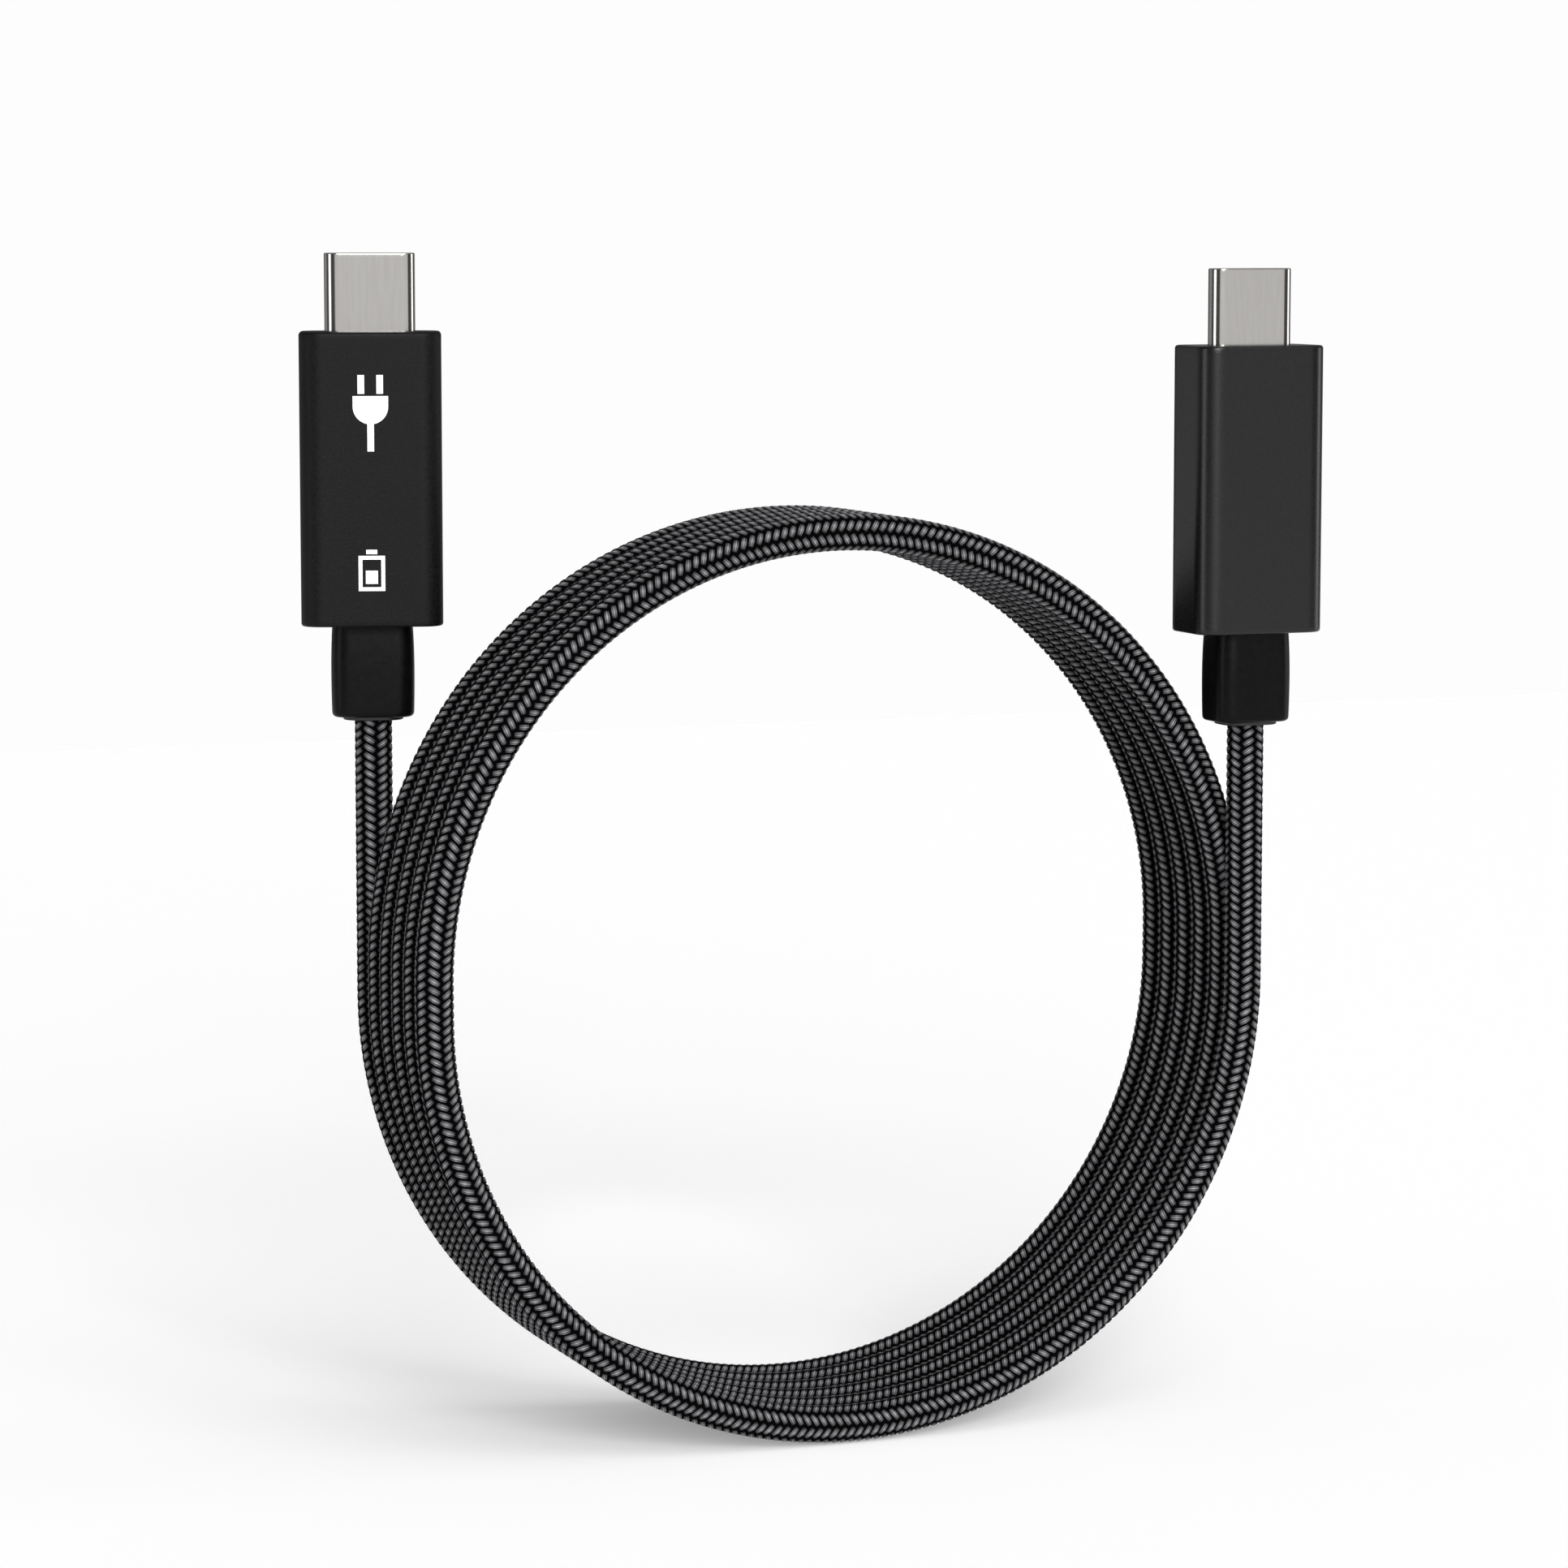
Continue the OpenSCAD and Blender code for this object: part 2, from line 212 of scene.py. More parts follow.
def add(tree, kind, inputs, **settings):
    """Add one node. inputs maps a socket's name or number to a value or to another node's
    output; settings are the node's own properties."""
    node = tree.nodes.new(kind)
    for key, value in settings.items():
        setattr(node, key, value)
    for key, value in inputs.items():
        if isinstance(value, bpy.types.NodeSocket):
            tree.links.new(value, node.inputs[key])
        else:
            node.inputs[key].default_value = value
    return node


def new_finish(name, shader_values):
    """A new material, its node tree and its Principled shader with plain values set."""
    material = bpy.data.materials.new(name)
    material.use_nodes = True
    tree = material.node_tree
    shader = tree.nodes["Principled BSDF"]
    for key, value in shader_values.items():
        shader.inputs[key].default_value = value
    return material, tree, shader


# %% [markdown]
# The braid's yarn is black nylon: bundles of fine, smooth, extruded filaments laid side by
# side. Nylon is slightly glossy, so every bundle carries thin light streaks along its
# crown, while the grooves and the places where a yarn dives under the others stay almost
# black. The pattern follows the yarn, so it reads the yarn's own UV map, where U goes round
# the yarn and V along it in millimetres, and its own height attribute, which is 1 where the
# yarn lies on top and 0 where it is deepest. A filament is about 0.04 mm thick, and the
# streaks are drawn as wide as that, so from further off they blend into an uneven shine.
# Four patterns are multiplied: ridges across the yarn, its rounded crown, the streaks, and
# how high the yarn lies. Together they are painted light and shade: painted highlight on
# the crowns and streaks, painted shade in the grooves, at the yarn's edges and where it
# lies deep. Real nylon reflects about as much as its IOR says, in its grooves as well. Here
# the grooves would turn grey, because they are shallower than real ones, so the reflection
# is set very low and the crowns' shine is put in the colour instead, which is why the light
# colour is so much lighter than black yarn.

# %% Nylon yarn material
RIDGES = 3
SECTION_POINTS = 2 * RIDGES + 2
WAVES = SECTION_POINTS / 2      # waves of groove and ridge, if they went all the way round
CROWN_MIDDLE = (SECTION_POINTS - 2) / 2 / SECTION_POINTS        # where it is in U
CROWN_ANGLE = np.pi * SECTION_POINTS / (SECTION_POINTS - 2)     # so the upper side is pi
STREAKS = (46.0, 0.9, 1.0)      # streaks round the yarn, and per millimetre along it
nylon, tree, shader = new_finish("nylon_filament_yarn", {
    "IOR": 1.53, "Specular IOR Level": 0.03})
uv = add(tree, "ShaderNodeUVMap", {}, uv_map="UVMap")
split = add(tree, "ShaderNodeSeparateXYZ", {0: uv.outputs[0]})

# ridges: the cosine of U; in the colour it is painted shade in the grooves, and it also shapes
# the relief
around = add(tree, "ShaderNodeMath", {0: split.outputs["X"], 1: 2 * np.pi * WAVES},
             operation="MULTIPLY")
wave = add(tree, "ShaderNodeMath", {0: around.outputs[0]}, operation="COSINE")
ridge = add(tree, "ShaderNodeMapRange", {0: wave.outputs[0], 1: 1.0, 2: -0.6, 3: 0.3, 4: 1.0})

# crown: the cosine of the distance from the middle of the upper side, 0 at its two edges;
# in the colour it is painted highlight in the middle and painted shade towards the edges
centred = add(tree, "ShaderNodeMath", {0: split.outputs["X"], 1: -CROWN_MIDDLE},
              operation="ADD")
bend = add(tree, "ShaderNodeMath", {0: centred.outputs[0], 1: CROWN_ANGLE},
           operation="MULTIPLY")
dome = add(tree, "ShaderNodeMath", {0: bend.outputs[0]}, operation="COSINE")
swell = add(tree, "ShaderNodeMapRange", {
    0: dome.outputs[0], 1: 0.25, 2: 0.95, 3: 0.01, 4: 1.0})
crown = add(tree, "ShaderNodeMath", {0: ridge.outputs[0], 1: swell.outputs[0]},
            operation="MULTIPLY")

# streaks: noise drawn out along V, painted streaks of sheen in the colour and fine relief in the
# bump
stretched = add(tree, "ShaderNodeMapping", {0: uv.outputs[0], 3: STREAKS})
streaks = add(tree, "ShaderNodeTexNoise", {
    "Vector": stretched.outputs[0], "Scale": 1.0, "Detail": 2.0})
streak = add(tree, "ShaderNodeMapRange", {
    0: streaks.outputs[0], 1: 0.38, 2: 0.66, 3: 0.3, 4: 1.0})
painted_sheen_and_relief = add(tree, "ShaderNodeMath", {0: crown.outputs[0], 1: streak.outputs[0]},
          operation="MULTIPLY")

# height: painted shade, darker where the yarn lies deep, so only the upper part of each float is
# out of the shade
height = add(tree, "ShaderNodeAttribute", {}, attribute_name="height")
painted_depth_shade = add(tree, "ShaderNodeMapRange", {
    0: height.outputs["Fac"], 1: 0.68, 2: 1.0, 3: 0.0, 4: 1.0})
painted_light_and_shade = add(tree, "ShaderNodeMath", {0: painted_sheen_and_relief.outputs[0], 1: painted_depth_shade.outputs[0]},
            operation="MULTIPLY")

# the dark colour is black yarn with painted shade, the light colour is painted highlight
tint = add(tree, "ShaderNodeMix", {
    0: painted_light_and_shade.outputs[0], 6: linear("#020203"), 7: linear("#c0bfc3")}, data_type="RGBA")
tree.links.new(tint.outputs[2], shader.inputs["Base Color"])
gloss = add(tree, "ShaderNodeMapRange", {0: painted_light_and_shade.outputs[0], 1: 0.0, 2: 1.0, 3: 0.9, 4: 0.27})
tree.links.new(gloss.outputs[0], shader.inputs["Roughness"])
relief = add(tree, "ShaderNodeBump", {
    "Strength": 0.6, "Distance": 0.03 * MM, "Height": painted_sheen_and_relief.outputs[0]})
tree.links.new(relief.outputs[0], shader.inputs["Normal"])
print("yarn material:", len(tree.nodes), "nodes")

# %% [markdown]
# In the gaps of the braid the cord's inner jacket shows: extruded PVC, matt and in deep
# shade, so the eye gets plain black. Its faint mottle has grains of about 0.7 mm.

# %% Inner jacket material
core_black, tree, shader = new_finish("black_inner_jacket", {
    "Roughness": 0.9, "Specular IOR Level": 0.0})
place = add(tree, "ShaderNodeTexCoord", {})
noise = add(tree, "ShaderNodeTexNoise", {"Vector": place.outputs["Object"], "Scale": 1500.0})
tint = add(tree, "ShaderNodeMix", {
    0: noise.outputs[0], 6: linear("#030303"), 7: linear("#080809")}, data_type="RGBA")
tree.links.new(tint.outputs[2], shader.inputs["Base Color"])
print("inner jacket material:", len(tree.nodes), "nodes")

# %% [markdown]
# Under the braid is the cord's smooth round jacket. It only shows as black in the gaps, so
# it is a plain round tube along the route, a little thinner than the cord.

# %% The cord's core
CORE_R = 1.63 * MM
CORE_SIDES = 12
CORE_RINGS = 1451               # one about every millimetre
core_s = np.linspace(0, cord_end, CORE_RINGS)
core_path, core_away = route(core_s)
FRONT = np.array([0.0, -1.0, 0.0])
turn = np.linspace(0, 2 * np.pi, CORE_SIDES, endpoint=False)[None, :, None]
core_out = np.cos(turn) * FRONT + np.sin(turn) * core_away[:, None]
core_grid = core_path[:, None] + CORE_R * core_out
cord = new_piece("cord_core", core_grid[None], core_black)
print("core faces:", len(cord.data.polygons))

# %% [markdown]
# The braid is a maypole weave of 16 yarns: eight wind right-handed and eight left-handed,
# each going over two and under two. Because both sets repeat eight times in one lay, the
# overs line up in eight columns along the cord, slanting one way and then the other, which
# gives the herringbone. It could be a bump on a tube, but the outline and the dark gaps
# would be lost, so each yarn is a real ribbon: its middle line is a helix whose radius
# rises and falls with the cosine of four times its angle round the cord. The columns lie
# a little to the left and right of the coil's front, and wander a few degrees, as they do
# on any wound cord.

# %% The braid's yarns
YARNS = 8                       # of each hand
LAY = 6.4 * MM                  # length of cord in which a yarn goes round once
SAMPLES = 24                    # rings in one lay, six to each over-and-under
WEAVE_R, WEAVE_H = 1.53 * MM, 0.12 * MM         # middle radius, and rise and fall
HALF_WIDTH = 0.33 * MM
NARROWEST = 0.5                 # share of the width left where a yarn dives under
OTHER_HAND = 2 * np.pi / 16     # left-handed yarns start half a column round
# the yarn's section, seven points over the top and one under it: across and up
across = HALF_WIDTH * np.array([-1, -0.68, -0.34, 0, 0.34, 0.68, 1, 0])
lift = MM * np.array([-0.07, 0.08, 0.07, 0.12, 0.07, 0.08, -0.07, -0.12])
# how far a column lies from the coil's front, at turns counted along the cord
TURNS_AT = [-0.1, 0.05, 0.25, 0.5, 0.75, 1.0, 5.4, 5.6]
COLUMN_AT = np.radians([29, 36, 20, 18, 25, 25, 27, 31])
turn_length = 2 * np.pi * TURN_R + 2 * (HIGH - LOW)


def yarn(number, hand):
    """Ring points of one yarn, their heights, and their distances s along the cord. The
    yarn stands at the angle 2 pi (number/8 + hand s/lay) round the cord, and its radius is
    the weave's middle radius plus hand times the weave's rise times the cosine of four
    times that angle. Each ring is the section's points laid out across the yarn and along
    the line out of the cord, narrower where the yarn is deep. A left-handed yarn's rings
    lie half a step further on, so that both hands have a ring on every float's middle."""
    first_ring, start = (0, 0) if hand > 0 else (0.5, OTHER_HAND)
    s = (np.arange(int(cord_end / LAY * SAMPLES)) + first_ring) * LAY / SAMPLES
    column = np.interp((s - stop[1]) / turn_length, TURNS_AT, COLUMN_AT)
    angle = 2 * np.pi * (number / YARNS + hand * s / LAY) + start
    over = np.cos(4 * angle) * hand
    middle, away = route(s)
    turned = angle + column
    out = np.cos(turned)[:, None] * FRONT + np.sin(turned)[:, None] * away
    line = middle + (WEAVE_R + WEAVE_H * over)[:, None] * out
    along = np.gradient(line, axis=0)
    side = np.cross(along, out)
    side /= np.linalg.norm(side, axis=1, keepdims=True)
    up = np.cross(side, along)
    up /= np.linalg.norm(up, axis=1, keepdims=True)
    high = (over + 1) / 2
    width = NARROWEST + (1 - NARROWEST) * high
    points = (line[:, None] + (width[:, None] * across)[..., None] * side[:, None]
              + lift[None, :, None] * up[:, None])
    return points, np.repeat(high[:, None], SECTION_POINTS, 1), s


def yarn_uv(s):
    """For each face corner, U is the share of the way round the yarn and V the distance
    along the cord in millimetres."""
    i, j = np.meshgrid(np.arange(len(s) - 1), np.arange(SECTION_POINTS), indexing="ij")
    u = np.stack([j, j + 1, j + 1, j], -1) / SECTION_POINTS
    v = np.stack([s[i], s[i], s[i + 1], s[i + 1]], -1) / MM
    return np.stack([u, v], -1)


for hand, word in ((1, "right_hand"), (-1, "left_hand")):
    for number in range(YARNS // 2):
        pair = [yarn(number, hand), yarn(number + YARNS // 2, hand)]
        points, heights, distances = zip(*pair)
        new_piece(
            f"yarns_{word}_{number + 1}", np.stack(points), nylon,
            uv=np.stack([yarn_uv(s) for s in distances]), heights=np.stack(heights))

# %% [markdown]
# Most of the plug's finishes are a fine grain: blasted, moulded, rolled or plated. One
# function makes them all from a noise pattern on Object coordinates. Its grain is a real
# size in millimetres; it blends two close colours, varies the roughness, and lifts the
# surface by the grain's real depth. Blasting and moulding leave grains of about 0.05 mm,
# too fine to show, so on the outer pieces they are drawn three or more times as coarse.

# %% Grained finishes


def grained(name, dark, light, grain, rough, depth, stretch=(1, 1, 1), **values):
    """A finish whose noise has grains of the given size in mm, stretched along an axis for
    drawn or rolled metal: the noise's value from dark to light picks the colour, the
    roughness between the two given, and the height up to depth in mm."""
    shader_values = {key.replace("_", " "): value for key, value in values.items()}
    material, tree, shader = new_finish(name, shader_values)
    place = add(tree, "ShaderNodeTexCoord", {})
    scale = tuple(1 / (grain * MM * k) for k in stretch)
    sized = add(tree, "ShaderNodeMapping", {0: place.outputs["Object"], 3: scale})
    noise = add(tree, "ShaderNodeTexNoise", {
        "Vector": sized.outputs[0], "Scale": 1.0, "Detail": 3.0})
    even = add(tree, "ShaderNodeMapRange", {0: noise.outputs[0], 1: 0.3, 2: 0.7, 3: 0.0, 4: 1.0})
    tint = add(tree, "ShaderNodeMix", {
        0: even.outputs[0], 6: linear(dark), 7: linear(light)}, data_type="RGBA")
    tree.links.new(tint.outputs[2], shader.inputs["Base Color"])
    gloss = add(tree, "ShaderNodeMapRange", {
        0: even.outputs[0], 1: 0.0, 2: 1.0, 3: rough[0], 4: rough[1]})
    tree.links.new(gloss.outputs[0], shader.inputs["Roughness"])
    if depth:
        relief = add(tree, "ShaderNodeBump", {
            "Strength": 1.0, "Distance": depth * MM, "Height": even.outputs[0]})
        tree.links.new(relief.outputs[0], shader.inputs["Normal"])
    return material


finishes = {
    # black nylon braid where only its cut end shows: dark, with a coarse loose grain
    "braided_cord": grained(
        "packed_nylon_braid", "#0a0a0b", "#1f1f20", 0.4, (0.45, 0.6), 0.05),
    # bead-blasted and black anodised: a dense, even, slightly sparkling grey-black
    "black_aluminium": grained(
        "black_anodised_aluminium", "#060607", "#0d0d0f", 0.16, (0.27, 0.31), 0.003,
        Specular_IOR_Level=0.4),
    # injection-moulded thermoplastic rubber: smooth, satin and very dark
    "boot_rubber": grained(
        "satin_black_rubber", "#050505", "#090909", 0.5, (0.3, 0.36), 0.003,
        Specular_IOR_Level=0.1),
    # moulded nylon: a flat, slightly dusty black
    "collar_plastic": grained(
        "moulded_black_nylon", "#0a0a0a", "#121212", 0.3, (0.5, 0.6), 0.003),
    # deep-drawn stainless steel, polished: bright, with faint lines along the draw
    "plug_steel": grained(
        "polished_drawn_steel", "#bebbb8", "#c3c1be", 0.3, (0.12, 0.13), 0.0,
        stretch=(1, 1, 12), Metallic=1.0),
    # glass-filled resin, moulded: dull black in the mouth
    "carrier_plastic": grained(
        "moulded_black_resin", "#0c0c0c", "#161616", 0.2, (0.5, 0.65), 0.003),
    # low-pressure moulding resin: flat dark grey
    "mould_plastic": grained(
        "moulded_grey_resin", "#303030", "#3a3a3a", 0.3, (0.55, 0.7), 0.004),
    # hard gold over nickel on copper alloy: smooth and warm, with faint stamping lines
    "gold_contacts": grained(
        "gold_plated_contacts", "#d9a94a", "#e8bf63", 0.08, (0.15, 0.25), 0.0005,
        stretch=(1, 1, 8), Metallic=1.0),
    # stamped and rolled: a soft grey shine, with lines along the roll
    "spring_steel": grained(
        "stamped_spring_steel", "#9b9a97", "#b0afab", 0.1, (0.25, 0.38), 0.001,
        stretch=(1, 1, 10), Metallic=1.0),
    # dipped in tin: pale, cloudy and half dull
    "can_steel": grained(
        "tin_plated_steel", "#a5a49f", "#bab9b3", 0.6, (0.3, 0.45), 0.001, Metallic=1.0),
    # glass fibre under green resist: glossy, with a hint of the weave
    "circuit_board": grained(
        "green_solder_resist", "#10401f", "#1b5a2d", 0.4, (0.25, 0.35), 0.002,
        Coat_Weight=0.4),
    # moulded epoxy: charcoal and matt
    "chip_plastic": grained(
        "moulded_chip_epoxy", "#121212", "#1d1d1d", 0.06, (0.55, 0.7), 0.003),
    # fired ceramic: brown, with a slight glaze
    "chip_capacitors": grained(
        "fired_ceramic_chips", "#75583a", "#927150", 0.15, (0.3, 0.45), 0.001),
    # extruded: smooth black, with faint lines along the cable
    "jacket_plastic": grained(
        "extruded_black_jacket", "#0d0d0d", "#141414", 0.4, (0.45, 0.55), 0.003,
        stretch=(1, 1, 6)),
    # tinned copper wires, braided: a broken, glittering brown
    "shield_braid": grained(
        "tinned_copper_braid", "#8a6238", "#c0946a", 0.12, (0.3, 0.45), 0.02,
        stretch=(1, 1, 2), Metallic=1.0),
    # extruded insulation: clean flat colours with a low shine
    "white_wire": grained(
        "white_fluoropolymer", "#d2d2cf", "#e4e4e1", 0.5, (0.3, 0.4), 0.001),
    "red_wire": grained(
        "red_wire_insulation", "#8a1414", "#a62020", 0.5, (0.3, 0.4), 0.001),
    "blue_wire": grained(
        "blue_wire_insulation", "#1c4a8a", "#2a60a6", 0.5, (0.3, 0.4), 0.001),
    # pad-printed ink: flat white, with the faint unevenness of the pad
    "white_print": grained(
        "pad_printed_white_ink", "#f0f0f0", "#fafafa", 0.25, (0.55, 0.7), 0.001),
}
# the left case gets its own copy: coarser grains, rougher and less reflective, so it is a little
# duller
blasted = grained(
    "blasted_black_aluminium", "#060607", "#111112", 0.22, (0.42, 0.55), 0.006,
    Specular_IOR_Level=0.13)
for part in frame["record"]["subparts"]:
    for surface in frame["nodes"][part["node"]].material_slots:
        surface.material = finishes[part["material_slot"]]
print("finishes:", len(finishes))

# %% [markdown]
# Every outer piece of a plug has the same plan: a rounded rectangle that changes size as it
# goes up. So a piece is a list of rings, each a width, thickness, corner radius and height
# in millimetres, and the surface runs through them from the inside, round the outside and
# back in, closing on itself. Rounded edges are short runs of rings on a quarter circle.

# %% Rings of rounded rectangles
ARC = np.linspace(0, np.pi / 2, 9)
EDGE_STEPS = np.linspace(0, np.pi / 2, 6)
GUARD = 0.2                     # mm from a corner to the point that keeps the flat flat


def outline(w, t, r):
    """A rectangle w by t whose corners are quarter circles of radius r, as a closed ring:
    each corner's centre plus r times cosine and sine, with a guard point on the straight
    before it and after it."""
    start = np.arange(4)[:, None] * np.pi / 2
    centre = np.array([[1, 1], [-1, 1], [-1, -1], [1, -1]]) * [w / 2 - r, t / 2 - r]
    arc = centre[:, None] + r * np.stack([np.cos(start + ARC), np.sin(start + ARC)], -1)
    straight = np.array([t - 2 * r, w - 2 * r] * 2)
    before = np.minimum(GUARD, straight / 3)[:, None]
    after = np.roll(before, -1, 0)
    ahead_of = np.concatenate([-np.sin(start), np.cos(start)], 1)
    ring = [(arc[:, 0] - before * ahead_of)[:, None], arc,
            (arc[:, -1] + after * np.roll(ahead_of, -1, 0))[:, None]]
    return np.concatenate(ring, 1).reshape(-1, 2)


def rounded_edge(w, t, r, z, e, top):
    """Rings that turn from an upright wall onto a flat top at height z, or from a flat
    bottom onto the wall: the ring shrinks by e times one minus the cosine while it rises by
    e times the sine. A negative e widens the ring, for the inner edge of a mouth."""
    inset = e * (1 - np.cos(EDGE_STEPS))
    height = z + (-e if top else e) * (1 - np.sin(EDGE_STEPS))
    rings = [(w - 2 * i, t - 2 * i, r - i, h) for i, h in zip(inset, height)]
    return rings if top else rings[::-1]


def plug_piece(name, rings, place, twist, finish, slot, *stands_for):
    """The closed surface through the rings, turned about its upright axis by twist and
    moved to place, as a piece that stands for the named nodes."""
    flat = np.stack([outline(w, t, r) for w, t, r, z in rings]) * MM
    height = np.broadcast_to(np.array([ring[3] for ring in rings])[:, None] * MM, flat.shape[:2])
    c, s = np.cos(twist), np.sin(twist)
    x, y = flat[..., 0], flat[..., 1]
    turned = np.stack([c * x - s * y, s * x + c * y, height], -1) + place
    piece = new_piece(name, turned[None], finish, loop_rows=True)
    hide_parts(*stands_for)
    return piece


# %% [markdown]
# The outer pieces of a plug: an aluminium case with softened edges and an oval mouth; a
# rubber boot, slightly bellied like a barrel, whose flange fills the case's lower end; a
# stiff collar that just shows under the boot; and the deep-drawn steel shell with a
# rounded lip. Heights are measured up from the collar's lower face.

# %% Plug pieces
CASE = dict(w=12.9, t=7.9, r=1.9)
CASE_IN = (11.3, 6.3, 1.1)
CASE_LOW, CASE_HIGH, CASE_FRONT = 8.7, 35.4, 34.4       # the last is its front wall's back
CASE_EDGE_LOW, CASE_EDGE_HIGH = 0.25, 0.3
MOUTH = (8.29, 2.44, 1.2)
SHELL = dict(w=8.25, t=2.4, r=1.18)
SHELL_IN = dict(w=7.75, t=1.9, r=0.93)
SHELL_REAR, SHELL_TIP = 30.5, 42.5
LIP_OUT, LIP_IN, LIP_RUN = 0.12, 0.1, 0.4               # edge radii, and the lip's depth
HOLE = (3.64, 3.64, 1.81)                               # where the cord goes in
FLANGE = (11.26, 6.26, 1.08)
BOOT_LOW, BOOT_MID, BOOT_TOP = 0.3, 4.4, 10.7
BOOT_EDGE = 0.45
BELLY_Z = np.linspace(8.5, 0.8, 12)
POCKET = (5.54, 4.44, 1.62)                             # room for the collar in the boot
COLLAR = dict(w=5.5, t=4.4, r=1.6)
COLLAR_TOP, COLLAR_EDGE = 2.5, 0.12

case_rings = (
    [(*CASE_IN, CASE_LOW)]
    + rounded_edge(**CASE, z=CASE_LOW, e=CASE_EDGE_LOW, top=False)
    + [(*CASE.values(), CASE_LOW + 0.6), (*CASE.values(), CASE_HIGH - 0.7)]
    + rounded_edge(**CASE, z=CASE_HIGH, e=CASE_EDGE_HIGH, top=True)
    + [(11.9, 6.9, 1.4, CASE_HIGH), (8.75, 2.9, 1.43, CASE_HIGH), (8.49, 2.64, 1.3, CASE_HIGH),
       (*MOUTH, CASE_HIGH - 0.1), (*MOUTH, CASE_FRONT), (*CASE_IN, CASE_FRONT)])

# the boot's sides draw in by the square of the height above or below its middle
belly_in = np.where(BELLY_Z > BOOT_MID, 0.125 * ((BELLY_Z - BOOT_MID) / 4.3) ** 2,
                    0.05 * ((BELLY_Z - BOOT_MID) / 3.6) ** 2)
belly = [(7.6 - 2 * i, 5.6 - 2 * i, 1.6 - i / 2, z) for i, z in zip(belly_in, BELLY_Z)]
boot_rings = (
    [(*HOLE, BOOT_TOP), (*FLANGE, BOOT_TOP), (*FLANGE, CASE_LOW),
     (7.6, 5.6, 1.7, CASE_LOW), (7.42, 5.42, 1.62, CASE_LOW - 0.08)]
    + belly
    + rounded_edge(7.5, 5.5, 1.56, z=BOOT_LOW, e=BOOT_EDGE, top=False)[::-1][1:]
    + [(*POCKET, BOOT_LOW), (*POCKET, COLLAR_TOP), (*HOLE, COLLAR_TOP)])

collar_rings = (
    [(*HOLE, COLLAR_TOP), (*COLLAR.values(), COLLAR_TOP), (*COLLAR.values(), 0.5)]
    + rounded_edge(**COLLAR, z=0.0, e=COLLAR_EDGE, top=False)[::-1]
    + [(3.84, 3.84, 1.91, 0.0), (*HOLE, 0.1)])

shell_rings = (
    [(*SHELL_IN.values(), SHELL_REAR), (*SHELL.values(), SHELL_REAR),
     (*SHELL.values(), SHELL_TIP - LIP_RUN)]
    + rounded_edge(**SHELL, z=SHELL_TIP, e=LIP_OUT, top=True)
    + rounded_edge(**SHELL_IN, z=SHELL_TIP, e=-LIP_IN, top=False)
    + [(*SHELL_IN.values(), SHELL_TIP - LIP_RUN)])

LEFT_TWIST = np.radians(-17)
plug_pieces = {}
for side, place, twist, case_finish in (
        ("left", left_exit, LEFT_TWIST, blasted),
        ("right", right_exit, 0.0, finishes["black_aluminium"])):
    plug_pieces[side] = [
        plug_piece(f"{side}_case", case_rings, place, twist, case_finish,
                   "black_aluminium", f"{side}_housing"),
        plug_piece(f"{side}_boot", boot_rings, place, twist, finishes["boot_rubber"],
                   "boot_rubber", f"{side}_strain_relief"),
        plug_piece(f"{side}_collar", collar_rings, place, twist, finishes["collar_plastic"],
                   "collar_plastic", f"{side}_end_collar"),
        plug_piece(f"{side}_metal_plug", shell_rings, place, twist, finishes["plug_steel"],
                   "plug_steel", f"{side}_plug_shell")]
    low, high = (np.array(corner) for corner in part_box(f"{side}_housing"))
    made = np.array([v.co for v in plug_pieces[side][0].data.vertices])
    past = max((low - made.min(0)).max(), (made.max(0) - high).max())
    print(side, "case goes past its solid's box by at most", round(float(past) / MM, 3), "mm")

# %% [markdown]
# Floor and light: a plain pale sheet on the floor, a wide soft light from the upper right
# that gives the faint shadow, and a studio of panels round the object. A polished metal
# plug has no look of its own, it shows what stands round it: here a pale card behind the
# camera, a dark gap, a bright strip on either side, and dark cloth further back, which
# also gives the cord its crisp dark outline. Only the backdrop the camera sees is white.

# %% Floor, lights and surroundings
FLOOR_HALF = 0.62
PANEL_STRENGTH = 4.0
# degrees round from the front, either way, and how bright the panel is there
PANELS = [(0, 0.21), (33, 0.21), (40, 0.02), (70, 0.02), (76, 0.7), (90, 0.7), (97, 0.02),
          (114, 0.02), (126, 0.09), (158, 0.09), (168, 0.01), (180, 0.01)]
OVERHEAD = 0.05
corners = FLOOR_HALF * np.array([(-1, -1, 0), (1, -1, 0), (1, 1, 0), (-1, 1, 0)])
floor_mesh = bpy.data.meshes.new("floor")
floor_mesh.from_pydata(corners.tolist(), [], [(0, 1, 2, 3)])
floor = bpy.data.objects.new("floor", floor_mesh)
bpy.context.scene.collection.objects.link(floor)
paper = new_finish("pale_floor", {
    "Base Color": linear("#f4f4f4"), "Roughness": 0.9, "Specular IOR Level": 0.1,
    "Emission Color": linear("#ffffff"), "Emission Strength": 0.28})[0]
floor_mesh.materials.append(paper)


COIL_MIDDLE = Vector((0, 0, 0.06))


def aim_light(name, kind, place, **settings):
    """A light of a given kind at place, aimed at the middle of the coil."""
    light = bpy.data.objects.new(name, bpy.data.lights.new(name, kind))
    for key, value in settings.items():
        setattr(light.data, key, value)
    light.location = place
    light.rotation_euler = (COIL_MIDDLE - Vector(place)).to_track_quat("-Z", "Y").to_euler()
    bpy.context.scene.collection.objects.link(light)


aim_light("key", "SUN", (0.42, -0.40, 1.0), energy=0.22, angle=np.radians(55))
aim_light("front_low", "SUN", (-0.12, -0.90, 0.44), energy=2.4, angle=np.radians(30))
aim_light("front_high", "SUN", (0.05, -0.65, 0.80), energy=0.9, angle=np.radians(45))

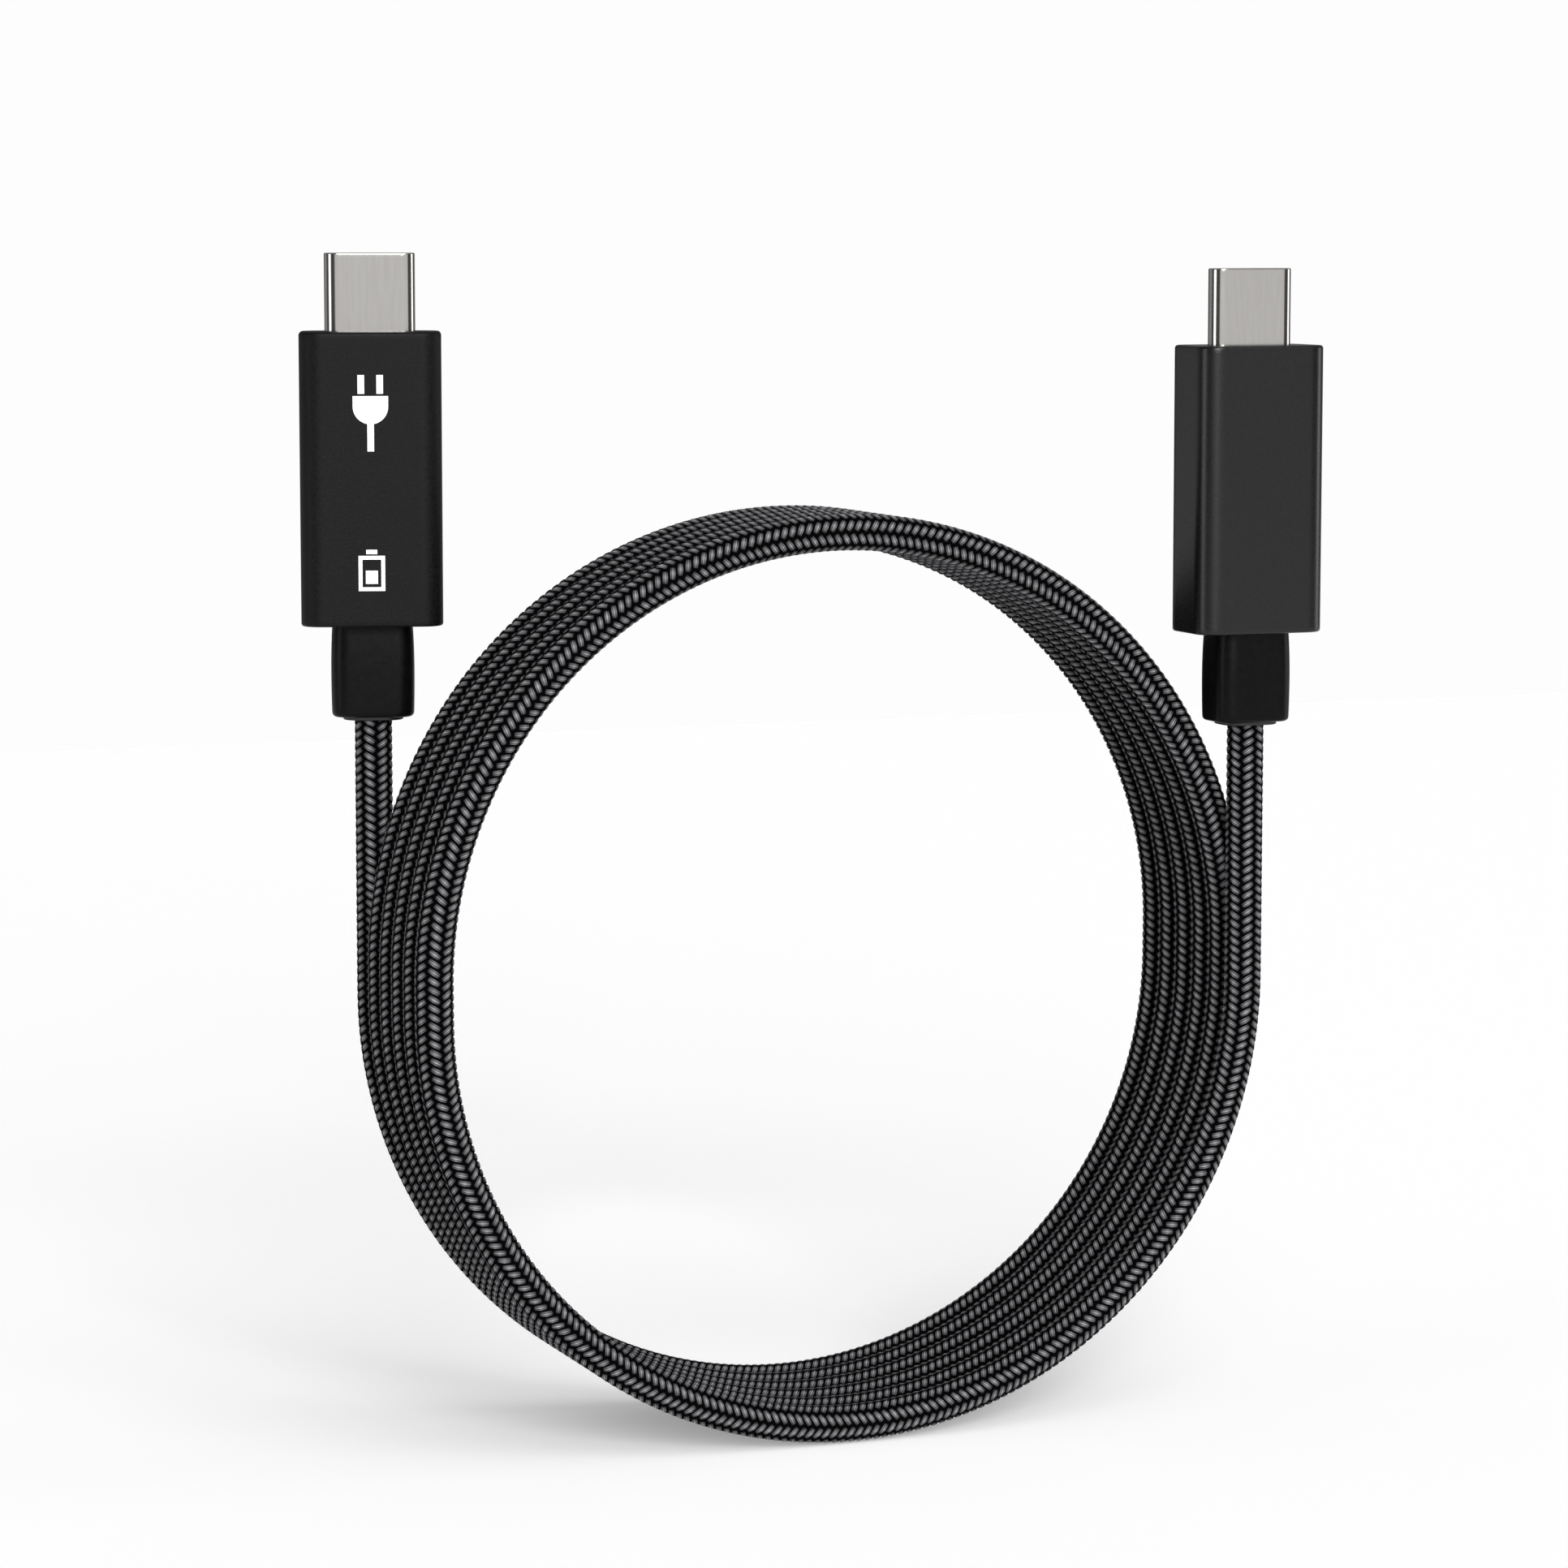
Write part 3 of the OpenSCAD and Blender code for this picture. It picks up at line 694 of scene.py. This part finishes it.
world = bpy.data.worlds.new("studio")
world.use_nodes = True
bpy.context.scene.world = world
tree = world.node_tree
tree.nodes.clear()
place = add(tree, "ShaderNodeTexCoord", {})
split = add(tree, "ShaderNodeSeparateXYZ", {0: place.outputs["Object"]})
sideways = add(tree, "ShaderNodeMath", {0: split.outputs["X"]}, operation="ABSOLUTE")
forward = add(tree, "ShaderNodeMath", {0: split.outputs["Y"], 1: -1.0}, operation="MULTIPLY")
angle = add(tree, "ShaderNodeMath", {0: sideways.outputs[0], 1: forward.outputs[0]},
            operation="ARCTAN2")
share = add(tree, "ShaderNodeMath", {0: angle.outputs[0], 1: np.pi}, operation="DIVIDE")
panels = add(tree, "ShaderNodeValToRGB", {0: share.outputs[0]})
while len(panels.color_ramp.elements) > 1:
    panels.color_ramp.elements.remove(panels.color_ramp.elements[-1])
for where, grey in PANELS:
    stop_on_ramp = panels.color_ramp.elements.new(where / 180)
    stop_on_ramp.color = (grey, grey, grey, 1)
panels.color_ramp.elements.remove(panels.color_ramp.elements[0])
overhead = add(tree, "ShaderNodeMapRange", {
    0: split.outputs["Z"], 1: 0.15, 2: 0.4, 3: 0.0, 4: 1.0})
studio = add(tree, "ShaderNodeMix", {0: overhead.outputs[0], 6: panels.outputs[0],
                                     7: (OVERHEAD, OVERHEAD, OVERHEAD, 1)}, data_type="RGBA")
seen = add(tree, "ShaderNodeLightPath", {})
backdrop = add(tree, "ShaderNodeBackground", {0: linear("#fdfdfd"), 1: 1.0})
surround = add(tree, "ShaderNodeBackground", {0: studio.outputs[2], 1: PANEL_STRENGTH})
both = add(tree, "ShaderNodeMixShader", {
    0: seen.outputs["Is Camera Ray"], 1: surround.outputs[0], 2: backdrop.outputs[0]})
add(tree, "ShaderNodeOutputWorld", {0: both.outputs[0]})
bpy.context.scene.view_settings.view_transform = "Standard"
print("panels:", len(PANELS))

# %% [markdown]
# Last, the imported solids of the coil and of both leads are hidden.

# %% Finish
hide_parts("coil", "left_lead", "right_lead")
